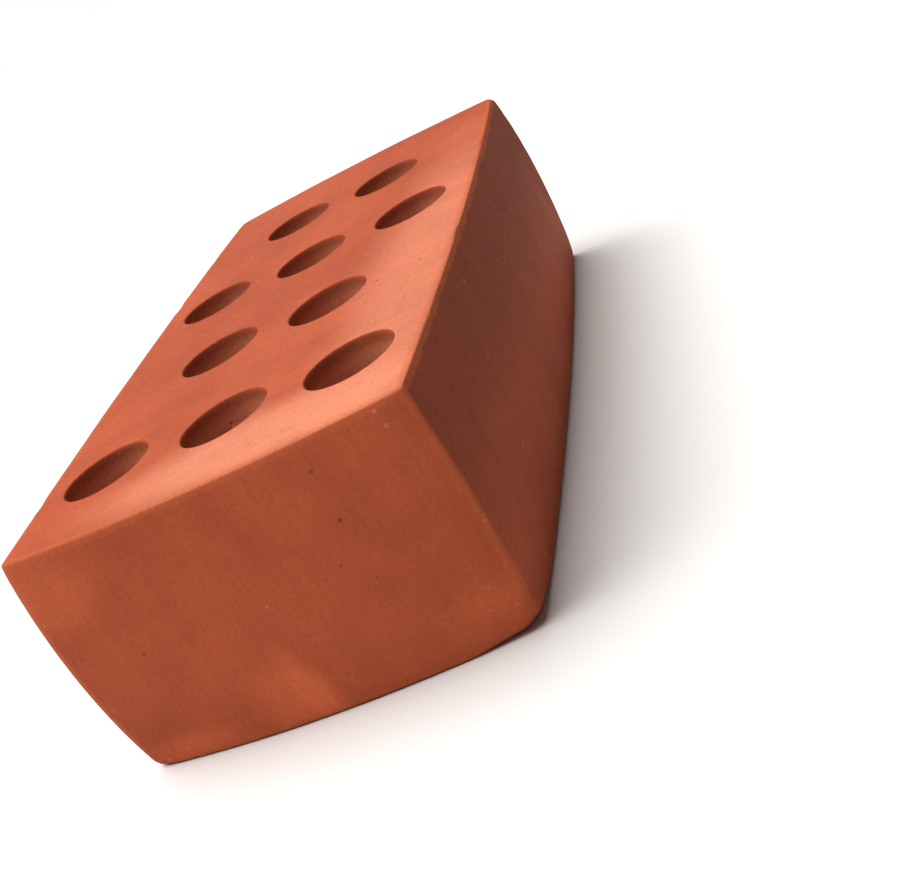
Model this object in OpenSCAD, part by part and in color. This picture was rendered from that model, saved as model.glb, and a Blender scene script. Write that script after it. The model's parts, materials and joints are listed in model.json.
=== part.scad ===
// Perforated clay brick, extruded and wire-cut, lying on its bed face.
// Origin: centre of the lower bed. X runs along the brick, Y across it, Z up.
// One fired piece: every hole goes right through from bed to bed.

/* [Block] */
// Length along X, over the crowned ends
length = 220; // [190:1:300]
// Width along Y, over the crowned long faces
width = 105; // [96:0.5:150]
// Height between the two flat beds
height = 60; // [40:1:120]
// Radius that rounds every arris and corner
arris_r = 1.5; // [1:0.1:6]

/* [Crowned faces] */
// Swell of each long face from its ends to its middle
side_crown = 2.5; // [0:0.1:4]
// Swell of each end face from its upright arrises to its middle
end_crown = 4.4; // [0:0.1:6]
// Swell of all four upright faces from the beds to mid height
upright_crown = 1.7; // [0:0.1:3]

/* [Perforations] */
// Diameter of each hole
hole_d = 21; // [10:0.5:25]
// Distance between rows of holes along X
row_pitch = 47.5; // [30:0.5:60]
// How far the whole pattern sits from the middle, towards +X
row_shift = -5.5; // [-8:0.5:8]
// Distance between neighbouring holes in one row along Y
column_pitch = 31.5; // [27:0.5:36]
// Holes in each row, from the -X end to the +X end
row_counts = [3, 2, 3, 2]; // [1:1:3]

/* [Hidden] */

// Cutting length past each bed
overrun = 1;
// Half sizes of the box that the centres of the arris balls keep to
core = [length / 2 - arris_r, width / 2 - arris_r, height / 2 - arris_r];
// Steps from face to face of the block along X, Y and Z
steps = [6, 4, 4];
// Facets round an arris ball, a multiple of 4 so that it is full size along every axis
ball_fn = 16;
// Facets round a hole
hole_fn = 96;

// Evenly spaced places from -1 to 1
function places(count) = [for (i = [0 : count]) 2 * i / count - 1];

// Every place on the skin of the block, with each axis running from -1 to 1
skin = [
    for (x = places(steps[0]), y = places(steps[1]), z = places(steps[2]))
        if (max(abs(x), abs(y), abs(z)) == 1) [x, y, z]
];

// Where the ball for one place goes: the upright faces fall away from their middles
function crowned(p) = [
    p[0] * (core[0] - end_crown * pow(p[1], 2) - upright_crown * pow(p[2], 2)),
    p[1] * (core[1] - side_crown * pow(p[0], 2) - upright_crown * pow(p[2], 2)),
    p[2] * core[2]
];

// The ball that rounds the arrises, with points at both poles
module arris_ball() {
    rotate_extrude($fn = ball_fn)
        intersection() {
            circle(r = arris_r, $fn = ball_fn);
            translate([0, -arris_r]) square([arris_r, 2 * arris_r]);
        }
}

// The solid block: crowned upright faces, flat beds, rounded arrises
module block() {
    translate([0, 0, height / 2])
        hull()
            for (place = skin)
                translate(crowned(place)) arris_ball();
}

// One hole through the block, bed to bed
module perforation() {
    translate([0, 0, -overrun])
        cylinder(h = height + 2 * overrun, d = hole_d, $fn = hole_fn);
}

// Every hole: evenly spaced rows, holes centred in their row
module perforations() {
    last_row = len(row_counts) - 1;
    for (row = [0 : last_row], hole = [0 : row_counts[row] - 1])
        translate([
            (row - last_row / 2) * row_pitch + row_shift,
            (hole - (row_counts[row] - 1) / 2) * column_pitch,
            0
        ])
            perforation();
}

module brick() {
    color("#C4623F")
        difference() {
            block();
            perforations();
        }
}

brick();
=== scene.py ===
import functools
import json
import math

import bmesh
import bpy
from mathutils import Matrix, Vector, noise


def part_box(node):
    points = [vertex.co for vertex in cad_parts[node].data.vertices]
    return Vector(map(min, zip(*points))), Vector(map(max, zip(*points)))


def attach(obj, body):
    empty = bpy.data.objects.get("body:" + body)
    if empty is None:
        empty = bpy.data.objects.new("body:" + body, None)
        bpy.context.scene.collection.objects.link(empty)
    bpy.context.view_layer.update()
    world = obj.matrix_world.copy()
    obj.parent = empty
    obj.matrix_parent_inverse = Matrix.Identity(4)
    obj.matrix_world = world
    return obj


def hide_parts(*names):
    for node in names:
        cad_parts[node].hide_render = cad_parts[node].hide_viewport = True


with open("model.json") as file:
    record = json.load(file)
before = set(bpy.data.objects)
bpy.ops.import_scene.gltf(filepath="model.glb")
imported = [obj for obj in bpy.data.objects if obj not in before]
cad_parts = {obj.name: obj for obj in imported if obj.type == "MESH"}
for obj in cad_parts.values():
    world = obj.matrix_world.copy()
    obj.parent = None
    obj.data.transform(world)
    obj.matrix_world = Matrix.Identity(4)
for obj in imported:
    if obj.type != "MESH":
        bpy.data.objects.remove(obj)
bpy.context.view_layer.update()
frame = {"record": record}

lowest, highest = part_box("brick")
middle = (lowest + highest) / 2
print("frame loaded, the brick is", [round(s * 1000, 1) for s in highest - lowest], "mm")


def deselectAll():
    if bpy.context.object and bpy.context.object.mode != "OBJECT":
        bpy.ops.object.mode_set(mode="OBJECT")
    bpy.ops.object.select_all(action="DESELECT")


def pick(piece, kind, wanted):
    # selects those verts, edges or faces of the piece that wanted() says yes to, and counts them
    bpy.ops.mesh.select_mode(type=kind)
    bpy.ops.mesh.select_all(action="DESELECT")
    mesh = bmesh.from_edit_mesh(piece.data)
    group = {"VERT": mesh.verts, "EDGE": mesh.edges, "FACE": mesh.faces}[kind]
    chosen = 0
    for item in group:
        if wanted(item):
            item.select_set(True)
            chosen += 1
    mesh.select_flush_mode()
    bmesh.update_edit_mesh(piece.data)
    return chosen


def roundOff(piece, centre, radius):
    # spaces the selected ring evenly on a circle, starting from the vert that lies towards +X
    fullTurn = 2 * math.pi
    nudge = 1e-7          # keeps that first vert from counting as the last one

    def bearing(v):
        return math.atan2(v.co.y - centre.y, v.co.x - centre.x + nudge) % fullTurn
    mesh = bmesh.from_edit_mesh(piece.data)
    ring = sorted([v for v in mesh.verts if v.select], key=bearing)
    for i, v in enumerate(ring):
        angle = fullTurn * i / len(ring)
        v.co.x = centre.x + radius * math.cos(angle)
        v.co.y = centre.y + radius * math.sin(angle)
    bmesh.update_edit_mesh(piece.data)


def applyModifier(piece, kind, name, **settings):
    modifier = piece.modifiers.new(name, kind)
    for key, value in settings.items():
        setattr(modifier, key, value)
    bpy.ops.object.select_all(action="DESELECT")
    piece.select_set(True)
    bpy.context.view_layer.objects.active = piece
    bpy.ops.object.modifier_apply(modifier=modifier.name)


def linear(hexColour):
    # sRGB hex to the linear colour, with alpha, that the shaders take
    channels = [int(hexColour[i:i + 2], 16) / 255 for i in (1, 3, 5)]
    return [c / 12.92 if c <= 0.04045 else ((c + 0.055) / 1.055) ** 2.4 for c in channels] + [1.0]


def addNode(tree, kind, settings=None, inputs=None):
    # adds one node with its settings and links
    # an input takes a plain value, an output socket, or another node for its first output in use
    node = tree.nodes.new("ShaderNode" + kind)
    for name, value in (settings or {}).items():
        setattr(node, name, value)
    for name, value in (inputs or {}).items():
        if isinstance(value, bpy.types.Node):
            value = next(o for o in value.outputs if o.enabled)
        if isinstance(value, bpy.types.NodeSocket):
            tree.links.new(value, node.inputs[name])
        else:
            node.inputs[name].default_value = value
    return node


brickLook = {
    "cellsCleared": 6,        # bed grid cells cleared each way for a hole
    "cellsPerRow": 11,        # bed grid cells between two rows of holes
    "cellsPerColumn": 8,      # bed grid cells between two holes of a row
    "margin": 0.0030,         # least bed left between the grid and the corners
    "sideCuts": 7,            # cuts up the outer faces
    "boreCuts": 3,            # cuts down each hole
    "arrisRadius": 0.0010,
    "lipRadius": 0.0005,      # worn rim of each hole
    "collar": 0.0008,         # width of the ring of faces round each hole
    "endCrown": 0.0044,       # the same swell as in the part's source
    "sideCrown": 0.0025,
    "uprightCrown": 0.0017,
    "smoothLevels": 2,
    "waviness": 0.00025,      # how far the skin wanders inwards
    "waveLength": 0.035,
    "waveFree": 0.001,        # ring round each hole that stays flat
    "waveFade": 0.004,        # and how far out of it the waves take to reach their full height
    "wornBand": 0.006,        # how far from an arris the wear can reach
    "nickDepth": 0.0012,      # extra radius at the worst nicks along an arris
    "nickLength": 0.011,
    "nickFrom": 0.12,         # noise value above which there is a nick
    "nickRange": 0.5,         # and how much further it takes to reach the full depth
}
# knocks on corners: which corner (signs of x, y and z), its radius, how far along the arrises it fades out
knocks = [
    ((-1, -1, -1), 0.0052, 0.022),
    ((-1, 1, -1), 0.0028, 0.014),
    ((1, -1, 1), 0.0026, 0.014),
    ((1, 1, -1), 0.0032, 0.016),
    ((1, -1, -1), 0.0024, 0.012),
    ((1, 1, 1), 0.0022, 0.012),
]

holes = [
    (Vector(m["pos_m"]), m["dims"]["r_mm"] / 1000)
    for m in frame["record"]["mounts"] if m["kind"] == "bore"
]
tiny = 1e-5          # places nearer than this, in metres, are the same place
rowPlaces = sorted({round(c.x, 5) for c, r in holes})
rowPitch = rowPlaces[1] - rowPlaces[0]
firstRow = sorted(c.y for c, r in holes if abs(c.x - rowPlaces[0]) < tiny)
columnPitch = firstRow[1] - firstRow[0]


def makeBrick(look):
    size = highest - lowest
    cellX = rowPitch / look["cellsPerRow"]
    cellY = columnPitch / look["cellsPerColumn"]
    # the grid is laid out from the first row of holes, up to the last cell edge inside the crowned outline
    insideX = size.x / 2 - look["endCrown"] - look["uprightCrown"] - look["margin"]
    insideY = size.y / 2 - look["sideCrown"] - look["uprightCrown"] - look["margin"]
    cellsBefore = int((rowPlaces[0] - middle.x + insideX) / cellX)
    cellsX = cellsBefore + int((middle.x + insideX - rowPlaces[0]) / cellX)
    cellsY = 2 * int(insideY / cellY)
    gridX = rowPlaces[0] + (cellsX / 2 - cellsBefore) * cellX

    deselectAll()
    bpy.ops.mesh.primitive_grid_add(x_subdivisions=cellsX, y_subdivisions=cellsY, size=1,
                                    location=(gridX, middle.y, highest.z))
    brick = bpy.context.object
    brick.name = brick.data.name = "brick_body"
    bpy.ops.object.transform_apply(location=True, rotation=True, scale=True)
    bpy.ops.object.mode_set(mode="EDIT")
    bpy.ops.mesh.select_all(action="SELECT")
    bpy.ops.transform.resize(value=(cellsX * cellX, cellsY * cellY, 1),
                             center_override=(gridX, middle.y, highest.z))

    # clear a square of cells for each hole, then draw its edge in to a collar and a rim
    reachX, reachY = look["cellsCleared"] / 2 * cellX, look["cellsCleared"] / 2 * cellY
    holeSides = 4 * look["cellsCleared"]
    for centre, radius in holes:
        def inside(v, c=centre):
            return abs(v.co.x - c.x) < reachX - tiny and abs(v.co.y - c.y) < reachY - tiny
        pick(brick, "VERT", inside)
        bpy.ops.mesh.delete(type="VERT")
    for centre, radius in holes:
        # subdivision pulls the rim in a little, so it starts that much wider
        wide = radius / (1 - (1 - math.cos(2 * math.pi / holeSides)) / 3)

        def onSquare(e, c=centre):
            reach = [max(abs(v.co.x - c.x) / reachX, abs(v.co.y - c.y) / reachY) for v in e.verts]
            return all(abs(r - 1) < 1e-3 for r in reach)
        pick(brick, "EDGE", onSquare)
        bpy.ops.mesh.extrude_region_move()
        roundOff(brick, centre, wide + look["collar"])
        bpy.ops.mesh.extrude_region_move()
        roundOff(brick, centre, wide)

    # the margin out to the full outline
    nearRim = 1.1          # an edge nearer than this many radii is on a hole's rim

    def byHole(e, c, r):
        point = (e.verts[0].co + e.verts[1].co) / 2
        return (point.xy - c.xy).length < r * nearRim

    def outerRim(e):
        return len(e.link_faces) == 1 and not any(byHole(e, c, r) for c, r in holes)
    pick(brick, "EDGE", outerRim)
    bpy.ops.mesh.extrude_region_move()
    bpy.ops.transform.translate(value=(middle.x - gridX, 0, 0))
    bpy.ops.transform.resize(value=(size.x / (cellsX * cellX), size.y / (cellsY * cellY), 1),
                             center_override=(middle.x, middle.y, highest.z))
    print("  upper bed laid out")

    # the lower bed is a copy of the upper one; the outside and the holes join the two
    bpy.ops.mesh.select_mode(type="FACE")
    bpy.ops.mesh.select_all(action="SELECT")
    bpy.ops.mesh.duplicate_move(TRANSFORM_OT_translate={"value": (0, 0, -size.z)})
    pick(brick, "EDGE", outerRim)
    bpy.ops.mesh.bridge_edge_loops(number_cuts=look["sideCuts"], interpolation="LINEAR", smoothness=0)
    for centre, radius in holes:
        def rims(e, c=centre, r=radius):
            return len(e.link_faces) == 1 and byHole(e, c, r)
        pick(brick, "EDGE", rims)
        bpy.ops.mesh.bridge_edge_loops(number_cuts=look["boreCuts"], interpolation="LINEAR", smoothness=0)
    bpy.ops.mesh.select_mode(type="VERT")
    bpy.ops.mesh.select_all(action="SELECT")
    bpy.ops.mesh.remove_doubles(threshold=tiny)
    bpy.ops.mesh.normals_make_consistent(inside=False)
    print("  outside and holes joined")

    # crowns: each slice of the skin is drawn in as far as the swell falls away there
    def onEnd(v):
        return abs(abs(v.co.x - middle.x) - size.x / 2) < tiny

    def onSide(v):
        return abs(abs(v.co.y - middle.y) - size.y / 2) < tiny
    mesh = bmesh.from_edit_mesh(brick.data)
    heights = sorted({round(v.co.z, 6) for v in mesh.verts if onEnd(v) or onSide(v)})
    stationsX = sorted({round(abs(v.co.x - middle.x), 6) for v in mesh.verts if onSide(v)})
    stationsY = sorted({round(abs(v.co.y - middle.y), 6) for v in mesh.verts if onEnd(v)})
    ends = {v.index for v in mesh.verts if onEnd(v)}
    sides = {v.index for v in mesh.verts if onSide(v)}
    skin = ends | sides
    corners = ends & sides
    starts = [v.co.copy() for v in mesh.verts]
    for station in stationsX:
        fall = look["sideCrown"] * (station / (size.x / 2)) ** 2
        pick(brick, "VERT", lambda v: v.index in sides
             and abs(abs(starts[v.index].x - middle.x) - station) < tiny)
        bpy.ops.transform.resize(value=(1, 1 - fall / (size.y / 2), 1), center_override=middle)
    for station in stationsY:
        fall = look["endCrown"] * (station / (size.y / 2)) ** 2
        pick(brick, "VERT", lambda v: v.index in ends
             and abs(abs(starts[v.index].y - middle.y) - station) < tiny)
        bpy.ops.transform.resize(value=(1 - fall / (size.x / 2), 1, 1), center_override=middle)
    for height in heights:
        fall = look["uprightCrown"] * ((height - middle.z) / (size.z / 2)) ** 2
        pick(brick, "VERT", lambda v: v.index in skin and abs(starts[v.index].z - height) < tiny)
        bpy.ops.transform.resize(value=(1 - fall / (size.x / 2), 1 - fall / (size.y / 2), 1),
                                 center_override=middle)
    print("  faces crowned")

    # arrises, then the worn rims of the holes
    def onBed(e):
        return all(min(abs(v.co.z - lowest.z), abs(v.co.z - highest.z)) < tiny for v in e.verts)

    def arris(e):
        indices = {v.index for v in e.verts}
        return indices <= skin and (onBed(e) or indices <= corners)
    print("  arris edges", pick(brick, "EDGE", arris))
    bpy.ops.mesh.bevel(offset=look["arrisRadius"], offset_type="OFFSET", segments=2, affect="EDGES")
    onRim = 1.03          # verts of a rim are nearer than this many radii, those of its collar aren't

    def holeRim(e):
        return onBed(e) and any(all((v.co.xy - c.xy).length < r * onRim for v in e.verts) for c, r in holes)
    print("  rim edges", pick(brick, "EDGE", holeRim))
    bpy.ops.mesh.bevel(offset=look["lipRadius"], offset_type="OFFSET", segments=1, affect="EDGES")
    bpy.ops.object.mode_set(mode="OBJECT")

    levels = look["smoothLevels"]
    applyModifier(brick, "SUBSURF", "smooth", levels=levels, render_levels=levels)
    bpy.ops.object.shade_smooth()
    return brick


def markHoles(piece, look):
    # distance of every vert from the nearest hole's wall
    # the group keeps the waves off the holes, and the attribute tells the material where they are
    gaps = [min((v.co.xy - c.xy).length - r for c, r in holes) for v in piece.data.vertices]
    skin = piece.vertex_groups.new(name="skin")
    for i, gap in enumerate(gaps):
        skin.add([i], min(1.0, max(0.0, (gap - look["waveFree"]) / look["waveFade"])), "REPLACE")
    marks = piece.data.attributes.new("fromHole", "FLOAT", "POINT")
    marks.data.foreach_set("value", gaps)


def waveSkin(piece, look):
    # drying and firing leave the flat faces a little wavy; the holes keep their size
    clouds = bpy.data.textures.new("waves", "CLOUDS")
    clouds.noise_scale = look["waveLength"]
    clouds.noise_depth = 1
    # with the middle level at 1 the waves only go inwards
    applyModifier(piece, "DISPLACE", "waves", texture=clouds, texture_coords="LOCAL", vertex_group="skin",
                  strength=look["waviness"], mid_level=1.0)


def wearArrises(piece, look):
    # every outer vert is held inside a rounded box, whose radius grows at nicks and knocked corners
    # how far each vert is from an arris is kept for the material
    half = (highest - lowest) / 2
    toArris = []
    for v in piece.data.vertices:
        p = v.co - middle
        along = [p.x / half.x, p.y / half.y, p.z / half.z]
        edge = Vector((
            half.x - look["endCrown"] * along[1] ** 2 - look["uprightCrown"] * along[2] ** 2,
            half.y - look["sideCrown"] * along[0] ** 2 - look["uprightCrown"] * along[2] ** 2,
            half.z))
        depth = Vector([edge[i] - abs(p[i]) for i in range(3)])
        toArris.append(sorted(depth)[1])     # the second nearest face is close only by an arris
        if toArris[-1] > look["wornBand"]:
            continue
        # large nicks with smaller ones on them
        nick = noise.noise(v.co / look["nickLength"]) + 0.4 * noise.noise(v.co / look["nickLength"] * 2.7)
        nick = min(1.0, max(0.0, (nick - look["nickFrom"]) / look["nickRange"]))
        radius = look["arrisRadius"] + look["nickDepth"] * nick ** 1.5
        for signs, knock, reach in knocks:
            corner = Vector([signs[i] * edge[i] for i in range(3)])
            fade = max(0.0, 1 - (p - corner).length / reach)
            fade = fade * fade * (3 - 2 * fade)
            radius = max(radius, look["arrisRadius"] + (knock - look["arrisRadius"]) * fade)
        over = Vector([max(0.0, radius - d) for d in depth])
        if over.length > radius:
            over *= radius / over.length
            for i in range(3):
                if depth[i] < radius:
                    v.co[i] = middle[i] + math.copysign(edge[i] - radius + over[i], p[i])
    piece.data.attributes.new("toArris", "FLOAT", "POINT").data.foreach_set("value", toArris)


brick = makeBrick(brickLook)
markHoles(brick, brickLook)
waveSkin(brick, brickLook)
wearArrises(brick, brickLook)
print("brick modelled,", len(brick.data.polygons), "faces")


# Fired clay: red clay pressed through a die, cut by wire and fired. To the eye it is matt orange-red with a
# faint sheen, soft blotches from the kiln, sandy grit, fine lines where the die and the wire dragged, and
# rubbed arrises.
# The colour also carries painted light and shade: patches on three faces, and bands down the holes.
clayLook = {
    "bodyDark": "#a44c30",
    "bodyLight": "#b05436",
    "paintedReflection": "#d06640",          # painted reflected light, as if bounced up from the floor onto the seen end
    "shade": "#7a3318",          # painted shade on the seen long face, darkest by its upper arris
    "paintedSheen": "#dd8a6a",          # painted highlight by the near corner of the upper bed, on top of the real gloss from the far soft box
    "rubbed": "#bb5f39",
    "boreMouth": "#b05c40",      # wall of a hole right at its mouth
    "borePaintedLight": "#ea956e",       # painted light: a pale band below that
    "borePaintedShade": "#7a3b25",      # painted shade: darker clay further in
    "grog": "#c98a64",           # crushed fired brick in the clay
    "ironSpot": "#5d2a1b",
    "blotchSize": 0.045,
    "mottleSize": 0.011,
    "raggedSize": 0.014,         # noise that breaks the outlines of the painted patches of light and shade
    "gritSize": 0.0009,          # real sand is 0.2 to 0.5 mm, drawn coarser to show
    "grogSpacing": 0.0050,
    "pitSpacing": 0.0090,
    "dragLine": 0.0014,          # real lines are nearer 0.5 mm, drawn coarser to show
    "dragLength": 0.070,
    "rubWidth": 0.0012,
    "rubStrength": 0.45,
    "rubBreak": 0.006,           # length of the breaks in the rubbed line
    "rimWidth": 0.0005,          # over which the colour of a hole's wall fades out on the bed
    "paintedLightDepth": (0.001, 0.005),     # below the bed: the painted light begins, and is full
    "paintedShadeDepth": (0.006, 0.012),    # the painted shade begins, and is full
    "lineHeight": 0.10,          # millimetres, as all four heights here
    "gritHeight": 0.10,
    "grainHeight": 0.03,
    "pitHeight": -0.25,
    "roughness": 0.70,
    "roughnessSpread": 0.06,
    "specular": 0.06,
}
# painted light and shade, each patch on one face: tint, the way that face looks, middle, half sizes,
# tilt about X in degrees, raggedness of its outline, strength
paintedPatches = [
    # painted shade over the seen long face, darkest at the top
    ("shade", (0, -1, 0), (0.0000, -0.0510, 0.0640), (0.6000, 0.0400, 0.0640), 0, 0.10, 0.90),
    # painted reflected light on the seen end, brightest by its lower arris and at its sides
    ("paintedReflection", (-1, 0, 0), (-0.1085, 0.0060, 0.0000), (0.0300, 0.0120, 0.0250), -12, 0.08, 0.60),
    ("paintedReflection", (-1, 0, 0), (-0.1085, 0.0012, 0.0080), (0.0300, 0.0062, 0.0180), -10, 0.04, 0.80),
    ("paintedReflection", (-1, 0, 0), (-0.1085, 0.0330, 0.0030), (0.0300, 0.0180, 0.0075), 0, 0.24, 0.60),
    ("paintedReflection", (-1, 0, 0), (-0.1065, 0.0400, 0.0500), (0.0300, 0.0150, 0.0150), 0, 0.24, 0.45),
    ("paintedReflection", (-1, 0, 0), (-0.1065, -0.0420, 0.0080), (0.0300, 0.0170, 0.0120), 0, 0.20, 0.40),
    # painted highlight along the near end and the seen side of the upper bed, by their shared corner
    ("paintedSheen", (0, 0, 1), (-0.0970, -0.0160, 0.0600), (0.0200, 0.0600, 0.0200), 0, 0.06, 0.70),
    ("paintedSheen", (0, 0, 1), (-0.0350, -0.0440, 0.0600), (0.1350, 0.0280, 0.0200), 0, 0.06, 0.50),
]


def makeClay(look):
    clay = bpy.data.materials.new("fired clay")
    clay.use_nodes = True
    tree = clay.node_tree
    shader = tree.nodes["Principled BSDF"]
    add = functools.partial(addNode, tree)
    where = add("TexCoord")
    place, facing = where.outputs["Object"], where.outputs["Normal"]
    smooth, inColour = {"interpolation_type": "SMOOTHSTEP"}, {"data_type": "RGBA"}

    # kiln blotches, then finer mottling
    blotches = add("TexNoise", {}, {"Vector": place, "Scale": 1 / look["blotchSize"], "Detail": 2.0})
    blotches = add("MapRange", smooth, {"Value": blotches, "From Min": 0.32, "From Max": 0.68})
    colour = add("Mix", inColour, {0: blotches, 6: linear(look["bodyDark"]), 7: linear(look["bodyLight"])})
    mottle = add("TexNoise", {}, {"Vector": place, "Scale": 1 / look["mottleSize"], "Detail": 3.0})
    mottle = add("MapRange", {},
                 {"Value": mottle, "From Min": 0.3, "From Max": 0.7, "To Min": 0.95, "To Max": 1.05})

    # the patches of painted shade, reflected light and highlight, each kept to its own face, their outlines
    # broken by noise
    ragged = add("TexNoise", {}, {"Vector": place, "Scale": 1 / look["raggedSize"], "Detail": 2.0})
    for tint, looks, centre, halfSizes, tilt, raggedness, strength in paintedPatches:
        turn = (math.radians(tilt), 0, 0)
        patch = add("Mapping", {"vector_type": "TEXTURE"},
                    {"Vector": place, "Location": centre, "Rotation": turn, "Scale": halfSizes})
        patch = add("TexGradient", {"gradient_type": "SPHERICAL"}, {"Vector": patch}).outputs["Fac"]
        patch = add("Math", {"operation": "SUBTRACT"}, {0: patch, 1: raggedness / 2})
        patch = add("Math", {"operation": "MULTIPLY_ADD"}, {0: ragged, 1: raggedness, 2: patch})
        patch = add("MapRange", smooth,
                    {"Value": patch, "From Min": 0.05, "From Max": 0.75, "To Max": strength})
        onFace = add("VectorMath", {"operation": "DOT_PRODUCT"}, {0: facing, 1: looks}).outputs["Value"]
        onFace = add("MapRange", {}, {"Value": onFace, "From Min": 0.55, "From Max": 0.85})
        patch = add("Math", {"operation": "MULTIPLY"}, {0: patch, 1: onFace})
        colour = add("Mix", inColour, {0: patch, 6: colour, 7: linear(look[tint])})

    # rubbed arrises
    toArris = add("Attribute", {"attribute_name": "toArris"}).outputs["Fac"]
    broken = add("TexNoise", {}, {"Vector": place, "Scale": 1 / look["rubBreak"], "Detail": 3.0})
    broken = add("Math", {"operation": "MULTIPLY_ADD"},
                 {0: broken, 1: -2 * look["rubWidth"], 2: 2 * look["rubWidth"]})
    rubbed = add("Math", {"operation": "SUBTRACT"}, {0: toArris, 1: broken})
    most = look["rubStrength"]
    rubbed = add("MapRange", smooth,
                 {"Value": rubbed, "From Max": look["rubWidth"], "To Min": most, "To Max": 0.0})
    colour = add("Mix", inColour, {0: rubbed, 6: colour, 7: linear(look["rubbed"])})

    # walls of the holes: darker right at the mouth, then a pale band of painted light, then painted shade
    # further in
    inBore = add("Attribute", {"attribute_name": "fromHole"}).outputs["Fac"]
    inBore = add("MapRange", {},
                 {"Value": inBore, "From Max": look["rimWidth"], "To Min": 1.0, "To Max": 0.0})
    # depth below the nearer bed
    depth = add("SeparateXYZ", {}, {"Vector": place}).outputs["Z"]
    depth = add("Math", {"operation": "SUBTRACT"}, {0: depth, 1: middle.z})
    depth = add("Math", {"operation": "ABSOLUTE"}, {0: depth})
    depth = add("Math", {"operation": "SUBTRACT"}, {0: highest.z - middle.z, 1: depth})
    paintedLightStart, paintedLightFull = look["paintedLightDepth"]
    paintedLit = add("MapRange", smooth, {"Value": depth, "From Min": paintedLightStart, "From Max": paintedLightFull})
    wall = add("Mix", inColour, {0: paintedLit, 6: linear(look["boreMouth"]), 7: linear(look["borePaintedLight"])})
    innerStart, innerFull = look["paintedShadeDepth"]
    inner = add("MapRange", smooth, {"Value": depth, "From Min": innerStart, "From Max": innerFull})
    wall = add("Mix", inColour, {0: inner, 6: wall, 7: linear(look["borePaintedShade"])})
    colour = add("Mix", inColour, {0: inBore, 6: colour, 7: wall})

    # crushed brick grains and iron spots, one of each kind in a few of the cells
    cells = add("TexVoronoi", {}, {"Vector": place, "Scale": 1 / look["grogSpacing"]})
    fromMiddle = cells.outputs["Distance"]
    grains = add("MapRange", smooth,
                 {"Value": fromMiddle, "From Min": 0.07, "From Max": 0.13, "To Min": 1.0, "To Max": 0.0})
    sort = add("SeparateColor", {}, {"Color": cells.outputs["Color"]})
    for channel, rare, strength, tint in (("Red", 0.55, 0.45, "grog"), ("Green", 0.75, 0.6, "ironSpot")):
        spots = add("MapRange", {},
                    {"Value": sort.outputs[channel], "From Min": rare, "From Max": 1.0, "To Max": strength})
        spots = add("Math", {"operation": "MULTIPLY"}, {0: spots, 1: grains})
        colour = add("Mix", inColour, {0: spots, 6: colour, 7: linear(look[tint])})

    # sandy grit
    grit = add("TexNoise", {}, {"Vector": place, "Scale": 1 / look["gritSize"], "Detail": 2.0})
    gritShade = add("MapRange", {},
                    {"Value": grit, "From Min": 0.3, "From Max": 0.7, "To Min": 0.94, "To Max": 1.06})

    # drag lines: up the pressed faces and holes, across the wire-cut beds
    fine, long = 1 / look["dragLine"], 1 / look["dragLength"]
    upLines = add("Mapping", {}, {"Vector": place, "Scale": (fine, fine, long)})
    upLines = add("TexNoise", {}, {"Vector": upLines, "Scale": 1.0, "Detail": 2.0})
    wireLines = add("Mapping", {}, {"Vector": place, "Scale": (fine, long, fine)})
    wireLines = add("TexNoise", {}, {"Vector": wireLines, "Scale": 1.0, "Detail": 2.0})
    flat = add("SeparateXYZ", {}, {"Vector": facing}).outputs["Z"]
    flat = add("Math", {"operation": "ABSOLUTE"}, {0: flat})
    flat = add("MapRange", {}, {"Value": flat, "From Min": 0.6, "From Max": 0.9})
    lines = add("Mix", {"data_type": "FLOAT"}, {0: flat, 2: upLines, 3: wireLines})
    lineShade = add("MapRange", {},
                    {"Value": lines, "From Min": 0.3, "From Max": 0.7, "To Min": 0.97, "To Max": 1.03})

    # the three fine shades darken and lighten the colour together
    shade = add("Math", {"operation": "MULTIPLY"}, {0: mottle, 1: gritShade})
    shade = add("Math", {"operation": "MULTIPLY"}, {0: shade, 1: lineShade})
    shade = add("CombineColor", {}, {0: shade, 1: shade, 2: shade})
    colour = add("Mix", {"data_type": "RGBA", "blend_type": "MULTIPLY"}, {0: 1.0, 6: colour, 7: shade})
    tree.links.new(colour.outputs[2], shader.inputs["Base Color"])

    # heights in millimetres: lines, grit, grains and sparse pits
    pits = add("TexVoronoi", {}, {"Vector": place, "Scale": 1 / look["pitSpacing"]})
    fromPit = pits.outputs["Distance"]
    deep = look["pitHeight"]
    height = add("MapRange", smooth,
                 {"Value": fromPit, "From Min": 0.03, "From Max": 0.10, "To Min": deep, "To Max": 0.0})
    for pattern, tall in ((lines, "lineHeight"), (grit, "gritHeight"), (grains, "grainHeight")):
        height = add("Math", {"operation": "MULTIPLY_ADD"}, {0: pattern, 1: look[tall], 2: height})
    bump = add("Bump", {}, {"Strength": 0.8, "Distance": 0.001, "Height": height})
    tree.links.new(bump.outputs["Normal"], shader.inputs["Normal"])

    rough = add("MapRange", {}, {"Value": grit, "From Min": 0.25, "From Max": 0.75,
                                 "To Min": look["roughness"] + look["roughnessSpread"],
                                 "To Max": look["roughness"] - look["roughnessSpread"]})
    tree.links.new(rough.outputs["Result"], shader.inputs["Roughness"])
    shader.inputs["Specular IOR Level"].default_value = look["specular"]
    return clay


brick.data.materials.clear()
brick.data.materials.append(makeClay(clayLook))
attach(brick, "root")
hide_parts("brick")
print("clay fired")


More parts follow.
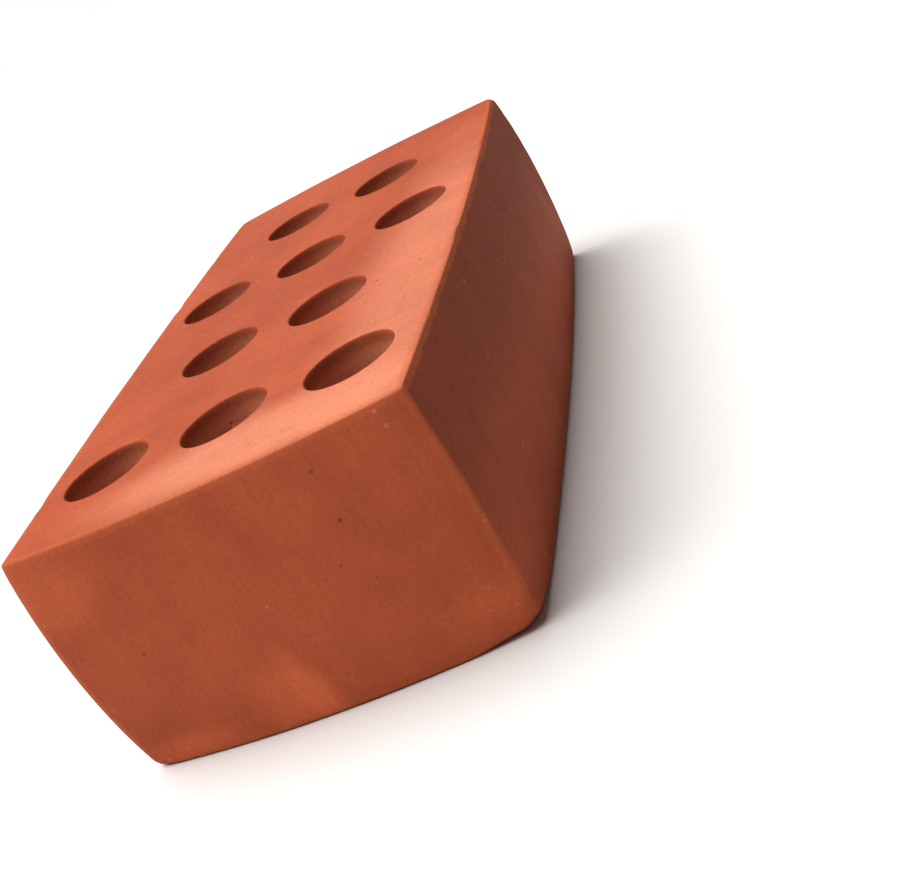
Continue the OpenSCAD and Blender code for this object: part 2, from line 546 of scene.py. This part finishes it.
studio = {
    "floorColour": "#e8e6e3",
    "floorRadius": 60,                    # metres, so that its rim never shows as a line
    "sunTowards": (0.02, 0.38, 0.92),     # direction from the brick to the main light
    "sunStrength": 4.85,
    "sunSoftness": 65,                    # degrees
    "skyStrength": 0.10,                  # what the walls of the room add
    "seenStrength": 1.0,                  # how bright they look where they show past the floor
    "sheenPlace": (1.10, 0.40, 0.52),     # low soft box beyond the far end
    "sheenSize": (0.5, 0.35),
    "sheenPower": 1.5,
}


def makeStudio(look):
    deselectAll()
    bpy.ops.mesh.primitive_circle_add(vertices=128, radius=look["floorRadius"], fill_type="NGON",
                                      location=(0, 0, lowest.z))
    floor = bpy.context.object
    floor.name = floor.data.name = "floor"
    bpy.ops.object.transform_apply(location=True, rotation=True, scale=True)
    paint = bpy.data.materials.new("matt pale floor paint")
    paint.use_nodes = True
    shader = paint.node_tree.nodes["Principled BSDF"]
    shader.inputs["Base Color"].default_value = linear(look["floorColour"])
    shader.inputs["Roughness"].default_value = 0.9
    shader.inputs["Specular IOR Level"].default_value = 0.1
    floor.data.materials.append(paint)

    world = bpy.data.worlds.new("studio walls")
    bpy.context.scene.world = world
    world.use_nodes = True
    tree = world.node_tree
    white = (1, 1, 1, 1)
    walls = addNode(tree, "Background", {}, {"Color": white, "Strength": look["skyStrength"]})
    seen = addNode(tree, "Background", {}, {"Color": white, "Strength": look["seenStrength"]})
    rays = addNode(tree, "LightPath").outputs["Is Camera Ray"]
    mixed = addNode(tree, "MixShader", {}, {0: rays, 1: walls, 2: seen})
    tree.links.new(mixed.outputs["Shader"], tree.nodes["World Output"].inputs["Surface"])
    tree.nodes.remove(tree.nodes["Background"])

    bpy.ops.object.light_add(type="SUN", location=(0, 0, 1))
    sun = bpy.context.object
    sun.name = "main light"
    sun.rotation_euler = Vector(look["sunTowards"]).to_track_quat("Z", "Y").to_euler()
    sun.data.energy = look["sunStrength"]
    sun.data.angle = math.radians(look["sunSoftness"])

    bpy.ops.object.light_add(type="AREA", location=look["sheenPlace"])
    sheen = bpy.context.object
    sheen.name = "far soft box"
    sheen.rotation_euler = (sheen.location - middle).to_track_quat("Z", "Y").to_euler()
    sheen.data.shape = "RECTANGLE"
    sheen.data.size, sheen.data.size_y = look["sheenSize"]
    sheen.data.energy = look["sheenPower"]
    sheen.visible_camera = False


makeStudio(studio)

cameraSet = {
    "place": (-0.32382, -0.13065, 0.14221),
    "aim": (0.00198, -0.01316, 0.0),      # the spot that it looks at
    "roll": -30.859,                      # degrees, so that the brick seems to lean
    "lens": 53.782,                       # millimetres, on a sensor 36 mm wide
    "nearest": 0.01,                      # nothing closer than this is drawn
}


def makeCamera(look):
    data = bpy.data.cameras.new("camera")
    data.lens = look["lens"]
    data.sensor_width = 36
    data.clip_start = look["nearest"]
    camera = bpy.data.objects.new("camera", data)
    bpy.context.scene.collection.objects.link(camera)
    camera.location = look["place"]
    level = (Vector(look["aim"]) - camera.location).to_track_quat("-Z", "Y")
    roll = Matrix.Rotation(math.radians(look["roll"]), 3, "Z")
    camera.rotation_euler = (level.to_matrix() @ roll).to_euler()
    return camera


bpy.context.scene.camera = makeCamera(cameraSet)
bpy.context.scene.view_settings.view_transform = "Standard"
print("studio and camera set")
